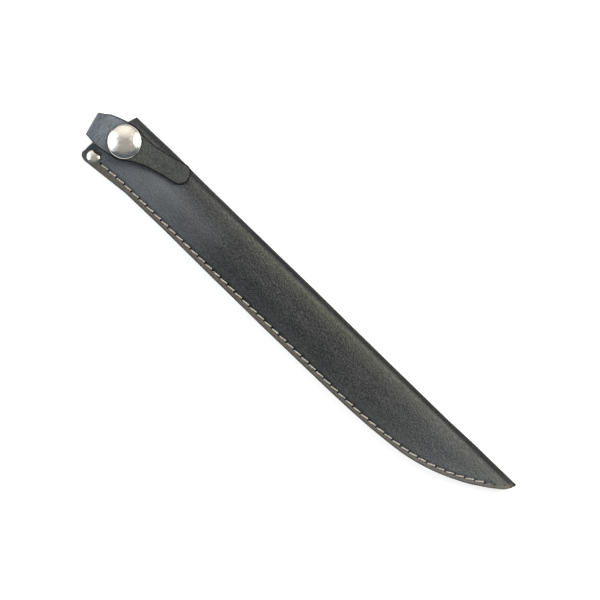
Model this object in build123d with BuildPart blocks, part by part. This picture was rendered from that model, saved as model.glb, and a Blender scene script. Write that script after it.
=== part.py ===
from build123d import *
from math import cos, radians, sin
import os

os.makedirs("parts", exist_ok=True)

# A folded leather knife sheath with a snapped strap over its mouth, in millimetres.
# X runs from the mouth to the tip, Y towards the folded edge, Z up.
# The origin is the middle of the mouth, on the surface that the sheath lies on.

# Body in plan
straight_length = 150.0  # middle of the mouth to where the stitched edge starts to curve
tip_length = 84.0  # the curved part, up to the tip
fold_offset = 13.3  # middle of the mouth to the folded edge
seam_offset = 13.7  # middle of the mouth to the stitched edge
mouth_lag = 2.7  # the mouth's corner at the fold lies this far towards the tip
mouth_lead = 4.3  # the mouth's corner at the seam lies this far outwards
mouth_bulge = 0.7  # how far the mouth's edge bows outwards
flare_length = 23.0  # the stitched edge widens over this stretch beside the mouth
flare_width = 3.2
rivet_corner_radius = 4.2
seam_curve_shares = [(0.296, 0.041), (0.506, 0.126), (0.694, 0.307), (0.85, 0.556), (0.98, 0.86)]
tip_angle = 54.0  # direction of the stitched edge where it meets the tip, degrees

# Body in section
leather = 1.8
welt_thickness = 2.4
welt_width = 4.4
mouth_fold_radius = 4.5  # outside of the fold, as far as the taper
taper_start = 100.0
taper_end = 232.0
fold_crown = 0.05  # how much the fold stands above the seam at the tip
crest_offset = 3.2  # middle of the mouth to where the front panel starts to fall
rivet_land = 0.9  # extra flat margin beside the corner rivet
land_start = 8.0
land_end = 32.0
ramp_start = 45.0  # the body comes down from the strap to the surface over this stretch
ramp_end = 145.0
rest_press = 0.15  # how much the back is pressed flat where it lies
crest_step = 0.6  # the slope to the seam is at least this wide, and ends this far from the fold
section_pitch = 12.5
curve_section_shares = [0.14, 0.28, 0.42, 0.55, 0.67, 0.78, 0.87]

# Seam
stitch_count = 49
stitch_pitch = 4.5
stitch_margin = 2.2  # stitched edge to the line of holes
stitch_start = 5.7
stitch_flare = 0.7  # the line starts this far outside its straight run
stitch_flare_length = 11.5
thread_width = 0.9
thread_thickness = 0.4
thread_seat_gap = 0.12  # under each stitch
thread_leg_radius = 0.35
needle_hole_gap = 0.15
seam_rise = 0.7  # the seam's back face stands this much above the back panel
thread_gap = 0.1  # between the two threads in the middle of the seam

# Metal
seat_gap = 0.05
bore_gap = 0.15
rivet_head_radius = 3.1
rivet_head_height = 1.0
rivet_rim = 0.3
rivet_stem_radius = 1.4
rivet_stem_entry = 0.5  # how far the stem enters the cap
rivet_hole_gap = 0.1
rivet_fit = 0.03

# Snap
snap_x = 6.5
snap_y = 2.0
cap_radius = 7.5
cap_height = 2.3
cap_edge = 0.7
cap_wall = 0.3
cap_curl = 1.4
post_plate_radius = 6.8
post_plate = 0.4
post_radius = 1.9
post_wall = 0.4
clinch_radius = 2.6
clinch_height = 0.35
stud_flange_radius = 5.0
stud_flange = 0.5
stud_neck_radius = 2.45
stud_neck_height = 0.7
stud_swell = 0.5
stud_head_radius = 2.8
stud_head_height = 0.6
stud_top_radius = 2.4
stud_top_height = 0.4
eyelet_flange_radius = 4.5
eyelet_flange = 0.4
eyelet_lip = 0.3
socket_lift = 0.25  # socket above the stud's flange
socket_room = 0.2  # clinched post above the stud
socket_web = 0.5
socket_flange_radius = 6.2
socket_cup_radius = 4.6
socket_bore_radius = 3.9
socket_lip_radius = 3.35
socket_lip = 0.4
spring_wire = 0.5
spring_clearance = 0.15
spring_arc = 300.0  # degrees

# Strap, measured from the middle of the snap
strap_leather = 1.8
strap_angle = 14.5  # from X towards the folded edge, degrees
loop_reach = 16.5  # to the outside of the bend
bend_radius = 5.5  # middle of the leather
bend_half_width = 5.7
shoulder_reach = 10.9
shoulder_half_width = 7.5
eye_radius = 8.4
eye_leave_angle = 22.0  # degrees round the eye to where its edge runs straight
waist_reach = 9.8
waist_half_width = 5.3
waist_radius = 9.0
tab_neck_reach = 19.7
tab_neck_half_width = 4.65
tab_reach = 32.6
tab_half_width = 4.8
tab_corner_radius = 3.8
tab_drop_start = 6.4  # the leather slopes from the snap down to the front panel
tab_drop_end = 21.0
tab_clearance = 0.3
crease_gap = 0.3  # between a rounded end of the bend and the leather beside it
rear_reach = 22.5
rear_half_width = 5.6
rear_corner_radius = 3.0
rear_rivet_reach = 16.0

overrun = 6.0  # how far cutting and trimming shapes stand clear

# Levels and reaches worked out from the sizes above
body_length = straight_length + tip_length
body_width = fold_offset + seam_offset
seam_stack = 2 * leather + welt_thickness
seam_top_height = seam_rise + seam_stack
tip_fold_radius = seam_top_height / 2 + fold_crown
rear_leaf_bottom = rivet_head_height + seat_gap
rear_leaf_top = rear_leaf_bottom + strap_leather
mouth_lift = rear_leaf_top + seat_gap
front_top = mouth_lift + 2 * mouth_fold_radius
front_ceiling = front_top - leather
section_height = front_top + overrun

stud_base = front_top + seat_gap
stud_flange_top = stud_base + stud_flange
stud_neck_top = stud_flange_top + stud_neck_height
stud_head_low = stud_neck_top + stud_swell
stud_head_high = stud_head_low + stud_head_height
stud_top = stud_head_high + stud_top_height
eyelet_seat = front_ceiling - seat_gap
eyelet_lip_base = stud_top + seat_gap
eyelet_top = eyelet_lip_base + eyelet_lip
clinch_bottom = eyelet_top + socket_room
clinch_top = clinch_bottom + clinch_height
web_bottom = clinch_top + seat_gap
socket_top = web_bottom + socket_web
socket_bottom = stud_flange_top + socket_lift
socket_lip_top = socket_bottom + socket_lip
spring_level = socket_lip_top + seat_gap + spring_wire / 2
spring_radius = stud_head_radius + spring_clearance + spring_wire / 2
front_leaf_bottom = socket_top + seat_gap
front_leaf_top = front_leaf_bottom + strap_leather
cap_base = front_leaf_top + seat_gap
cap_top = cap_base + cap_height
plate_bottom = cap_base + cap_wall + seat_gap
plate_top = plate_bottom + post_plate

rear_level = rear_leaf_bottom + strap_leather / 2
front_level = front_leaf_bottom + strap_leather / 2
tab_level = front_top + tab_clearance + strap_leather / 2
bend_reach = loop_reach - strap_leather / 2
crease_reach = bend_reach - bend_radius
crease_length = strap_leather / 2 + crease_gap
lower_crease_level = rear_level + bend_radius + crease_length


def ease(x, start, end):
    """Share of the way from start to end, level at both ends."""
    share = min(max((x - start) / (end - start), 0), 1)
    return share * share * (3 - 2 * share)


def lift(x):
    """Height of the back panel's underside before it is pressed flat."""
    return mouth_lift - (mouth_lift + rest_press) * ease(x, ramp_start, ramp_end)


def fold_radius(x):
    """Outer radius of the fold."""
    return mouth_fold_radius - (mouth_fold_radius - tip_fold_radius) * ease(x, taper_start, taper_end)


def straight_foot(x):
    """Place of the welt's inner edge beside the straight part of the seam."""
    return welt_width - seam_offset + rivet_land * (1 - ease(x, land_start, land_end))


# Stitched edge of the tip
tip_points = [(straight_length, -seam_offset)]
for along_share, across_share in seam_curve_shares:
    tip_points.append((straight_length + along_share * tip_length, across_share * body_width - seam_offset))
tip_points.append((body_length, fold_offset))
tip_tangents = [(1, 0), (cos(radians(tip_angle)), sin(radians(tip_angle)))]

with BuildLine() as tip_edge:
    Spline(*tip_points, tangents=tip_tangents)
tip_curve = tip_edge.edges()[0]


def inside_seam(share, margin):
    """A point at a share of the curved edge, moved into the body by a margin."""
    place = tip_curve @ share
    along = tip_curve % share
    return (place.X - along.Y * margin, place.Y + along.X * margin)


# Stations along the body, each with the place of the welt's inner edge there
stations = [(-mouth_lead - overrun, straight_foot(0))]
for count in range(int(straight_length / section_pitch) + 1):
    station = section_pitch * count
    stations.append((station, straight_foot(station)))
for share in curve_section_shares + [1]:
    stations.append(inside_seam(share, welt_width))
stations.append((body_length + overrun, fold_offset))


def body_form(inset):
    """The closed sheath as a solid through a section at each station, every face moved in by the inset."""
    straight_fall = seam_offset - welt_width - crest_offset
    outside = -seam_offset - flare_width - overrun
    with BuildPart() as form:
        for station, foot in stations:
            radius = fold_radius(station)
            low = lift(station) + inset
            side = fold_offset - inset
            centre = fold_offset - radius
            middle = lift(station) + radius
            top = lift(station) + 2 * radius - inset
            seam_low = low + seam_rise
            seam_top = lift(station) + seam_top_height - inset
            height_share = (radius - tip_fold_radius) / (mouth_fold_radius - tip_fold_radius)
            foot_y = min(foot, centre - 2 * crest_step)
            crest_y = min(foot_y + crest_step + straight_fall * height_share, centre - crest_step)
            if station < land_end:
                crest_y = -crest_offset
            with BuildSketch(Plane(origin=(station, 0, 0), x_dir=(0, 1, 0), z_dir=(1, 0, 0))):
                with BuildLine():
                    Polyline((outside, seam_low), (foot_y, seam_low), (foot_y + crest_step, low), (centre, low))
                    RadiusArc((centre, low), (side, middle), inset - radius)
                    RadiusArc((side, middle), (centre, top), inset - radius)
                    Polyline((centre, top), (crest_y, top), (foot_y, seam_top), (outside, seam_top), (outside, seam_low))
                make_face()
        loft()
    return form.part


# Body in plan
fold_mouth_corner = (mouth_lag, fold_offset)
seam_mouth_corner = (-mouth_lead, -seam_offset - flare_width)
mouth_middle = ((mouth_lag - mouth_lead) / 2 - mouth_bulge, (fold_offset - seam_offset - flare_width) / 2)

with BuildSketch() as plan_outline:
    with BuildLine():
        ThreePointArc(seam_mouth_corner, mouth_middle, fold_mouth_corner)
        tip_run = PolarLine((body_length, fold_offset), overrun, tip_angle)
        Polyline(fold_mouth_corner, (mouth_lag, fold_offset + overrun), tip_run @ 1)
        Spline(*tip_points, tangents=tip_tangents)
        Polyline((straight_length, -seam_offset), (flare_length, -seam_offset), seam_mouth_corner)
    make_face()
    fillet(plan_outline.vertices().sort_by_distance(seam_mouth_corner)[0], radius=rivet_corner_radius)

# The corner rivet shares its middle with the rounded corner
mouth_way = (Vector(*fold_mouth_corner) - Vector(*seam_mouth_corner)).normalized()
flare_way = (Vector(flare_length, -seam_offset) - Vector(*seam_mouth_corner)).normalized()
corner_bisector = (mouth_way + flare_way).normalized()
corner_half_angle = radians(mouth_way.get_angle(flare_way) / 2)
rivet_place = Vector(*seam_mouth_corner) + corner_bisector * (rivet_corner_radius / sin(corner_half_angle))

# Line of needle holes along the seam
stitch_level = stitch_margin - seam_offset
with BuildLine() as stitch_line:
    Polyline(
        (stitch_start, stitch_level - stitch_flare),
        (stitch_start + stitch_flare_length, stitch_level),
        (straight_length, stitch_level),
    )
    Spline(
        (straight_length, stitch_level),
        *[inside_seam(share, stitch_margin) for share in curve_section_shares],
        inside_seam(1, stitch_margin),
        tangents=tip_tangents,
    )
stitch_wire = stitch_line.wires()[0]
needle_holes = []
for count in range(stitch_count + 1):
    hole = stitch_wire.position_at(count * stitch_pitch, position_mode=PositionMode.LENGTH)
    needle_holes.append((hole.X, hole.Y))

# Planes of the strap and the snap
strap_way = (cos(radians(strap_angle)), sin(radians(strap_angle)), 0)
strap_side_way = (sin(radians(strap_angle)), -cos(radians(strap_angle)), 0)
strap_plan = Plane(origin=(snap_x, snap_y, 0), x_dir=strap_way, z_dir=(0, 0, 1))
strap_side = Plane(origin=(snap_x, snap_y, 0), x_dir=strap_way, z_dir=strap_side_way)
snap_section = Plane(origin=(snap_x, snap_y, 0), x_dir=(1, 0, 0), z_dir=(0, -1, 0))
snap_axis = Axis((snap_x, snap_y, 0), (0, 0, 1))
rear_rivet_place = strap_plan.from_local_coords((rear_rivet_reach, 0, 0))

# Sheath leather: one piece, folded along the straight edge
with BuildPart() as sheath_leather:
    add(body_form(0))
    with BuildSketch():
        add(plan_outline.sketch)
    extrude(amount=section_height, mode=Mode.INTERSECT)
    add(body_form(leather), mode=Mode.SUBTRACT)
    with Locations(*needle_holes):
        Cylinder(thread_leg_radius + needle_hole_gap, 2 * section_height, mode=Mode.SUBTRACT)
    with Locations((rivet_place.X, rivet_place.Y)):
        Cylinder(rivet_stem_radius + rivet_hole_gap, 2 * section_height, mode=Mode.SUBTRACT)
    with Locations((rear_rivet_place.X, rear_rivet_place.Y)):
        Cylinder(rivet_stem_radius + rivet_hole_gap, 2 * (mouth_lift + leather + seat_gap), mode=Mode.SUBTRACT)
    with Locations((snap_x, snap_y, front_top)):
        Cylinder(post_radius + bore_gap, 2 * (leather + seat_gap), mode=Mode.SUBTRACT)
sheath_leather.part.label = "sheath_leather"
export_step(sheath_leather.part, "parts/sheath_leather.step")

# Welt: the strip between the panels along the seam
with BuildPart() as welt_strip:
    add(body_form(leather + seat_gap))
    with BuildSketch():
        add(plan_outline.sketch)
        with BuildLine():
            foot_line = Polyline(*stations)
            Polyline(foot_line @ 1, (body_length + overrun, body_width), (-mouth_lead - overrun, body_width), foot_line @ 0)
        make_face(mode=Mode.SUBTRACT)
    extrude(amount=section_height, both=True, mode=Mode.INTERSECT)
    with Locations(*needle_holes):
        Cylinder(thread_leg_radius + needle_hole_gap, 2 * section_height, mode=Mode.SUBTRACT)
    with Locations((rivet_place.X, rivet_place.Y)):
        Cylinder(rivet_stem_radius + rivet_hole_gap, 2 * section_height, mode=Mode.SUBTRACT)
welt_strip.part.label = "welt_strip"
export_step(welt_strip.part, "parts/welt_strip.step")


def seam_thread(face_height, outwards):
    """One thread of the seam: a bar from hole to hole on its face, and a leg in each hole."""
    leg_length = (seam_stack - thread_gap) / 2 + thread_seat_gap
    bar_middle = face_height + outwards * (thread_seat_gap + thread_thickness / 2)
    bar_planes = []
    for start, end in zip(needle_holes, needle_holes[1:]):
        low = lift(start[0]) + bar_middle
        high = lift(end[0]) + bar_middle
        way = Vector(end[0] - start[0], end[1] - start[1], high - low)
        middle = ((start[0] + end[0]) / 2, (start[1] + end[1]) / 2, (low + high) / 2)
        bar_planes.append(Plane(origin=middle, x_dir=way, z_dir=(way.Y, -way.X, 0)))
    leg_places = []
    for place in needle_holes:
        leg_places.append((place[0], place[1], lift(place[0]) + bar_middle - outwards * leg_length / 2))
    with BuildPart() as row:
        with BuildSketch(*bar_planes):
            Rectangle(stitch_pitch - thread_leg_radius, thread_thickness)
        extrude(amount=thread_width / 2, both=True)
        with Locations(*leg_places):
            Cylinder(thread_leg_radius, leg_length)
    return row.part


# Needle thread: the stitches on the front
with BuildPart() as needle_thread:
    add(seam_thread(seam_top_height, 1))
needle_thread.part.label = "needle_thread"
export_step(needle_thread.part, "parts/needle_thread.step")

# Bobbin thread: the stitches on the back
with BuildPart() as bobbin_thread:
    add(seam_thread(seam_rise, -1))
bobbin_thread.part.label = "bobbin_thread"
export_step(bobbin_thread.part, "parts/bobbin_thread.step")


def rivet_cap(place, base, outwards):
    """Domed rivet cap with a blind hole for the stem; the base is its flat face."""
    entry = rivet_stem_entry + rivet_fit
    with BuildPart() as cap:
        with BuildSketch(Plane(origin=(place.X, place.Y, base), x_dir=(1, 0, 0), z_dir=(0, -1, 0))):
            with BuildLine():
                Polyline(
                    (0, outwards * rivet_head_height),
                    (0, outwards * entry),
                    (rivet_stem_radius + rivet_fit, outwards * entry),
                    (rivet_stem_radius + rivet_fit, 0),
                    (rivet_head_radius, 0),
                    (rivet_head_radius, outwards * rivet_rim),
                )
                TangentArc(
                    (0, outwards * rivet_head_height),
                    (rivet_head_radius, outwards * rivet_rim),
                    tangent=(1, 0),
                )
            make_face()
        revolve(axis=Axis((place.X, place.Y, 0), (0, 0, 1)))
    return cap.part


def rivet_post(place, base, outwards, stem_end):
    """Domed rivet head with its stem; the base is the head's flat face."""
    with BuildPart() as post:
        with BuildSketch(Plane(origin=(place.X, place.Y, 0), x_dir=(1, 0, 0), z_dir=(0, -1, 0))):
            with BuildLine():
                Polyline(
                    (0, base + outwards * rivet_head_height),
                    (0, stem_end),
                    (rivet_stem_radius, stem_end),
                    (rivet_stem_radius, base),
                    (rivet_head_radius, base),
                    (rivet_head_radius, base + outwards * rivet_rim),
                )
                TangentArc(
                    (0, base + outwards * rivet_head_height),
                    (rivet_head_radius, base + outwards * rivet_rim),
                    tangent=(1, 0),
                )
            make_face()
        revolve(axis=Axis((place.X, place.Y, 0), (0, 0, 1)))
    return post.part


# Corner rivet: holds the two panels and the welt together beside the mouth
corner_cap_base = mouth_lift + seam_top_height + seat_gap
with BuildPart() as corner_rivet_cap:
    add(rivet_cap(rivet_place, corner_cap_base, 1))
corner_rivet_cap.part.label = "corner_rivet_cap"
export_step(corner_rivet_cap.part, "parts/corner_rivet_cap.step")

with BuildPart() as corner_rivet_post:
    add(rivet_post(rivet_place, mouth_lift + seam_rise - seat_gap, -1, corner_cap_base + rivet_stem_entry))
corner_rivet_post.part.label = "corner_rivet_post"
export_step(corner_rivet_post.part, "parts/corner_rivet_post.step")

# Strap rivet: holds the strap's rear leaf to the back panel
strap_cap_base = mouth_lift + leather + seat_gap
with BuildPart() as strap_rivet_cap:
    add(rivet_cap(rear_rivet_place, strap_cap_base, 1))
strap_rivet_cap.part.label = "strap_rivet_cap"
export_step(strap_rivet_cap.part, "parts/strap_rivet_cap.step")

with BuildPart() as strap_rivet_post:
    add(rivet_post(rear_rivet_place, rivet_head_height, -1, strap_cap_base + rivet_stem_entry))
strap_rivet_post.part.label = "strap_rivet_post"
export_step(strap_rivet_post.part, "parts/strap_rivet_post.step")

# Snap cap: the domed disc on the strap, its rim curled under
with BuildPart() as snap_cap:
    with BuildSketch(snap_section):
        with BuildLine():
            outer = TangentArc((0, cap_top), (cap_radius, cap_base + cap_edge), tangent=(1, 0))
            Polyline(
                outer @ 1,
                (cap_radius, cap_base),
                (cap_radius - cap_curl, cap_base),
                (cap_radius - cap_curl, cap_base + cap_wall),
                (cap_radius - cap_wall, cap_base + cap_wall),
                (cap_radius - cap_wall, cap_base + cap_edge),
            )
            inner = TangentArc((0, cap_top - cap_wall), (cap_radius - cap_wall, cap_base + cap_edge), tangent=(1, 0))
            Line(outer @ 0, inner @ 0)
        make_face()
    revolve(axis=snap_axis)
snap_cap.part.label = "snap_cap"
export_step(snap_cap.part, "parts/snap_cap.step")

# Cap post: a plate held by the curled rim, and a tube clinched under the socket's web
with BuildPart() as snap_cap_post:
    with BuildSketch(snap_section):
        with BuildLine():
            Polyline(
                (0, plate_top),
                (post_plate_radius, plate_top),
                (post_plate_radius, plate_bottom),
                (post_radius, plate_bottom),
                (post_radius, clinch_top),
                (clinch_radius, clinch_top),
                (clinch_radius, clinch_bottom),
                (post_radius - post_wall, clinch_bottom),
                (post_radius - post_wall, plate_bottom),
                (0, plate_bottom),
                close=True,
            )
        make_face()
    revolve(axis=snap_axis)
snap_cap_post.part.label = "snap_cap_post"
export_step(snap_cap_post.part, "parts/snap_cap_post.step")

# Socket: the cup under the strap that holds the spring ring
with BuildPart() as snap_socket:
    with BuildSketch(snap_section):
        with BuildLine():
            Polyline(
                (post_radius + bore_gap, web_bottom),
                (socket_bore_radius, web_bottom),
                (socket_bore_radius, socket_lip_top),
                (socket_lip_radius, socket_lip_top),
                (socket_lip_radius, socket_bottom),
                (socket_cup_radius, socket_bottom),
                (socket_cup_radius, web_bottom),
                (socket_flange_radius, web_bottom),
                (socket_flange_radius, socket_top),
                (post_radius + bore_gap, socket_top),
                close=True,
            )
        make_face()
    revolve(axis=snap_axis)
snap_socket.part.label = "snap_socket"
export_step(snap_socket.part, "parts/snap_socket.step")

# Spring ring: an open wire ring that grips the stud
with BuildPart() as snap_spring_ring:
    with BuildSketch(snap_section):
        with Locations((spring_radius, spring_level)):
            Circle(spring_wire / 2)
    revolve(axis=snap_axis, revolution_arc=spring_arc)
snap_spring_ring.part.label = "snap_spring_ring"
export_step(snap_spring_ring.part, "parts/snap_spring_ring.step")

# Stud: the snap's male half on the front panel
with BuildPart() as snap_stud:
    with BuildSketch(snap_section):
        with BuildLine():
            Polyline(
                (post_radius + bore_gap, stud_base),
                (stud_flange_radius, stud_base),
                (stud_flange_radius, stud_flange_top),
                (stud_neck_radius, stud_flange_top),
                (stud_neck_radius, stud_neck_top),
                (stud_head_radius, stud_head_low),
                (stud_head_radius, stud_head_high),
                (stud_top_radius, stud_top),
                (post_radius + bore_gap, stud_top),
                close=True,
            )
        make_face()
    revolve(axis=snap_axis)
snap_stud.part.label = "snap_stud"
export_step(snap_stud.part, "parts/snap_stud.step")

# Eyelet: clinches the stud to the front panel from inside
with BuildPart() as snap_eyelet:
    with BuildSketch(snap_section):
        with BuildLine():
            Polyline(
                (post_radius - post_wall, eyelet_seat - eyelet_flange),
                (eyelet_flange_radius, eyelet_seat - eyelet_flange),
                (eyelet_flange_radius, eyelet_seat),
                (post_radius, eyelet_seat),
                (post_radius, eyelet_lip_base),
                (stud_top_radius, eyelet_lip_base),
                (stud_top_radius, eyelet_top),
                (post_radius - post_wall, eyelet_top),
                close=True,
            )
        make_face()
    revolve(axis=snap_axis)
snap_eyelet.part.label = "snap_eyelet"
export_step(snap_eyelet.part, "parts/snap_eyelet.step")

# Outline of the strap in plan, around the snap
eye_join = (eye_radius * sin(radians(eye_leave_angle)), eye_radius * cos(radians(eye_leave_angle)))
with BuildSketch(strap_plan) as strap_outline:
    with BuildLine() as strap_edge:
        Polyline(
            (-loop_reach - overrun, 0),
            (-loop_reach - overrun, bend_half_width),
            (-loop_reach, bend_half_width),
            (-shoulder_reach, shoulder_half_width),
            (0, eye_radius),
        )
        RadiusArc((0, eye_radius), eye_join, eye_radius)
        Polyline(
            eye_join,
            (waist_reach, waist_half_width),
            (tab_neck_reach, tab_neck_half_width),
            (tab_reach, tab_half_width),
            (tab_reach, 0),
        )
        mirror(about=Plane.XZ)
    make_face()
    waist_corners = strap_outline.vertices().sort_by_distance(strap_plan.from_local_coords((waist_reach, 0, 0)))
    fillet(waist_corners[:2], radius=waist_radius)
    tab_corners = strap_outline.vertices().sort_by_distance(strap_plan.from_local_coords((tab_reach, 0, 0)))
    fillet(tab_corners[:2], radius=tab_corner_radius)

# Front leaf: from the crease over the snap to the tab
with BuildPart() as strap_front_leaf:
    with BuildSketch(strap_side):
        with BuildLine():
            middle_drop = ((tab_drop_start + tab_drop_end) / 2, (front_level + tab_level) / 2)
            Line((crease_length - crease_reach, front_level), (tab_drop_start, front_level))
            TangentArc((tab_drop_start, front_level), middle_drop, tangent=(1, 0))
            TangentArc((tab_drop_end, tab_level), middle_drop, tangent=(-1, 0))
            Line((tab_drop_end, tab_level), (tab_reach, tab_level))
        trace(line_width=strap_leather)
    extrude(amount=eye_radius + overrun, both=True)
    with BuildSketch():
        add(strap_outline.sketch)
    extrude(amount=section_height + overrun, mode=Mode.INTERSECT)
    with Locations((snap_x, snap_y, front_level)):
        Cylinder(post_radius + bore_gap, 2 * strap_leather, mode=Mode.SUBTRACT)
strap_front_leaf.part.label = "strap_front_leaf"
export_step(strap_front_leaf.part, "parts/strap_front_leaf.step")

# Bend: round-ended at its two creases, where the strap flexes
with BuildPart() as strap_bend:
    with BuildSketch(strap_side):
        with BuildLine():
            Line((-bend_reach, lower_crease_level), (-bend_reach, front_level - bend_radius))
            RadiusArc((-bend_reach, front_level - bend_radius), (-crease_reach, front_level), bend_radius)
        trace(line_width=strap_leather)
        with Locations((-bend_reach, lower_crease_level), (-crease_reach, front_level)):
            Circle(strap_leather / 2)
    extrude(amount=eye_radius + overrun, both=True)
    with BuildSketch():
        add(strap_outline.sketch)
    extrude(amount=section_height + overrun, mode=Mode.INTERSECT)
strap_bend.part.label = "strap_bend"
export_step(strap_bend.part, "parts/strap_bend.step")

# Rear leaf: from the crease round to the underside of the back panel
with BuildPart() as strap_rear_leaf:
    with BuildSketch(strap_side):
        with BuildLine():
            Line((rear_reach, rear_level), (-crease_reach, rear_level))
            RadiusArc((-crease_reach, rear_level), (-bend_reach, rear_level + bend_radius), bend_radius)
        trace(line_width=strap_leather)
    extrude(amount=eye_radius, both=True)
    with BuildSketch(strap_plan):
        with BuildLine():
            Polyline(
                (-loop_reach, bend_half_width),
                (-crease_reach, rear_half_width),
                (rear_reach, rear_half_width),
                (rear_reach, -rear_half_width),
                (-crease_reach, -rear_half_width),
                (-loop_reach, -bend_half_width),
                close=True,
            )
        make_face()
    extrude(amount=section_height, mode=Mode.INTERSECT)
    fillet(strap_rear_leaf.edges().filter_by(Axis.Z).group_by(Axis.X)[-1], radius=rear_corner_radius)
    with Locations((rear_rivet_place.X, rear_rivet_place.Y)):
        Cylinder(rivet_stem_radius + rivet_hole_gap, 2 * mouth_lift, mode=Mode.SUBTRACT)
strap_rear_leaf.part.label = "strap_rear_leaf"
export_step(strap_rear_leaf.part, "parts/strap_rear_leaf.step")
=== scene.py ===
import bpy
import math
import numpy as np
from mathutils import Matrix, Vector
from mathutils.kdtree import KDTree


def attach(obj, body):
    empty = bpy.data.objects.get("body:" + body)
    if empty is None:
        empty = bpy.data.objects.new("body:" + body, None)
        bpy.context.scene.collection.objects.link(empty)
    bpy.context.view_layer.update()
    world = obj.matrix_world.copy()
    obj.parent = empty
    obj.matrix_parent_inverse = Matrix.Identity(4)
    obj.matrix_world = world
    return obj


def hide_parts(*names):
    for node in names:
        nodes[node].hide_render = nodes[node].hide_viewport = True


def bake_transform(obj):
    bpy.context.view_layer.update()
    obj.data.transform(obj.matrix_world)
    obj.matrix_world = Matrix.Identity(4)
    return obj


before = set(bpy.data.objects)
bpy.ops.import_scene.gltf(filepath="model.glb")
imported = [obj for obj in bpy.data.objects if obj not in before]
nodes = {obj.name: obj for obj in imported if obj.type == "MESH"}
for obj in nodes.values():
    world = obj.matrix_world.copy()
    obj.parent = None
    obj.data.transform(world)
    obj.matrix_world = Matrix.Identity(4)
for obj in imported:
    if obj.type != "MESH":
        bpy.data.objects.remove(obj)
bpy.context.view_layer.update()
scene = bpy.context.scene
mm = 0.001

# the body in millimetres, the same as in the solids: x from the mouth, y towards the fold, z up
body = {
    "length": 234.0, "straight": 150.0, "fold": 13.3, "seam": 13.7,
    "leather": 1.8, "stack": 6.0, "seamRise": 0.7, "welt": 4.4,
    "lift": 2.9, "press": 0.15, "rampStart": 45.0, "rampEnd": 145.0,
    "mouthRadius": 4.5, "tipRadius": 3.4, "taperStart": 100.0, "taperEnd": 232.0,
    "lag": 2.7, "lead": 4.3, "bulge": 0.7, "mouthFade": 30,
    "flare": 3.2, "flareLength": 23.0, "corner": 4.2, "cornerShy": 0.3,
    "tipShares": [(0.296, 0.041), (0.506, 0.126), (0.694, 0.307), (0.85, 0.556), (0.98, 0.86), (1, 1)],
}
# the hand-cut edge and the fold wander a little from their plan; a swell is its middle, half length and height
wander = {
    "x": [-5, 20, 45, 75, 90, 105, 120, 135, 150, 165, 195, 213, 217, 221, 225, 229, 233],
    "y": [-0.15, -0.2, 0.07, -0.2, -0.2, -0.28, -0.18, -0.08, 0.12, 0.18, 0.08, 0.22, 0.1, 0.15, 0.4, 0.85, 0.33],
    "foldOut": 0.2, "foldSwells": [(25, 12, 0.28), (110, 22, 0.144)],
    "tipOut": 0.4, "tipFrom": 190, "tipTo": 212,
}
stitch = {
    "count": 49, "pitch": 4.5, "margin": 2.2, "start": 5.7, "flare": 0.7, "flareLength": 11.5,
    "length": 3.9, "halfWidth": 0.31, "halfHeight": 0.24, "slant": 7.0, "crown": 0.12, "dip": 0.7, "backDip": 0.6,
    "strands": 3, "strandDepth": 0.13, "twist": 4.2, "narrow": 0.25, "rings": 22, "around": 12,
    "groove": 0.22, "grooveWidth": 0.6, "grooveShift": 0.1, "grooveStart": (2.5, 5), "grooveEnd": (2, 6),
    "well": 0.5, "wellWidth": 0.62, "wellSquash": 0.9, "lastWell": [1.9, 1.7],
}
# the front panel rises from the stitch line to its top, flat round the corner rivet; the cut edges are rounded
panel = {
    "stepShare": 0.2, "step": (0.3, 1.5), "rollFrom": 0.5, "roll": 11, "leastReach": 1.5,
    "uneven": 0.12, "unevenSize": 46, "unevenOver": (1, 7),
    "edgeRound": 0.8, "frontDrop": 0.45, "backRise": 0.3, "backStep": (-0.5, 3),
}
cornerRivet = {"x": 1.14, "y": -12.03, "flatTo": 3.4, "risenAt": 7.5, "dent": 0.12, "dentAt": 3.2, "dentWidth": 0.5}


def ease(x, start, end):
    t = np.clip((x - start) / (end - start), 0, 1)
    return t * t * (3 - 2 * t)


def liftAt(x):
    return body["lift"] - (body["lift"] + body["press"]) * ease(x, body["rampStart"], body["rampEnd"])


def radiusAt(x):
    narrowing = ease(x, body["taperStart"], body["taperEnd"])
    return body["mouthRadius"] - (body["mouthRadius"] - body["tipRadius"]) * narrowing


# stitched edge in plan: a smooth curve through the tip's points
width = body["fold"] + body["seam"]
tipX = [body["straight"] - 12, body["straight"]]
tipY = [-body["seam"], -body["seam"]]
for alongShare, acrossShare in body["tipShares"]:
    tipX.append(body["straight"] + alongShare * (body["length"] - body["straight"]))
    tipY.append(acrossShare * width - body["seam"])
tipX, tipY = np.array(tipX), np.array(tipY)
knots = np.concatenate([[0], np.cumsum(np.hypot(np.diff(tipX), np.diff(tipY)))])


def throughKnots(values, s):
    slopes = np.gradient(values, knots)
    i = np.clip(np.searchsorted(knots, s) - 1, 0, len(knots) - 2)
    h = knots[i + 1] - knots[i]
    t = (s - knots[i]) / h
    a, b = values[i], values[i + 1]
    return (a * (1 + 2 * t) * (1 - t) ** 2 + b * t * t * (3 - 2 * t)
            + slopes[i] * h * t * (1 - t) ** 2 - slopes[i + 1] * h * t * t * (1 - t))


s = np.linspace(0, knots[-1], 600)
curveX, curveY = throughKnots(tipX, s), throughKnots(tipY, s)
edgeX = np.concatenate([[-body["lead"], body["flareLength"]], curveX])
edgeY = np.concatenate([[-body["seam"] - body["flare"], -body["seam"]], curveY])


def edgeAt(x):
    return np.interp(x, edgeX, edgeY) + np.interp(x, wander["x"], wander["y"])


def edgeSlope(x, step=0.4):
    return (edgeAt(x + step) - edgeAt(x - step)) / (2 * step)


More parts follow.
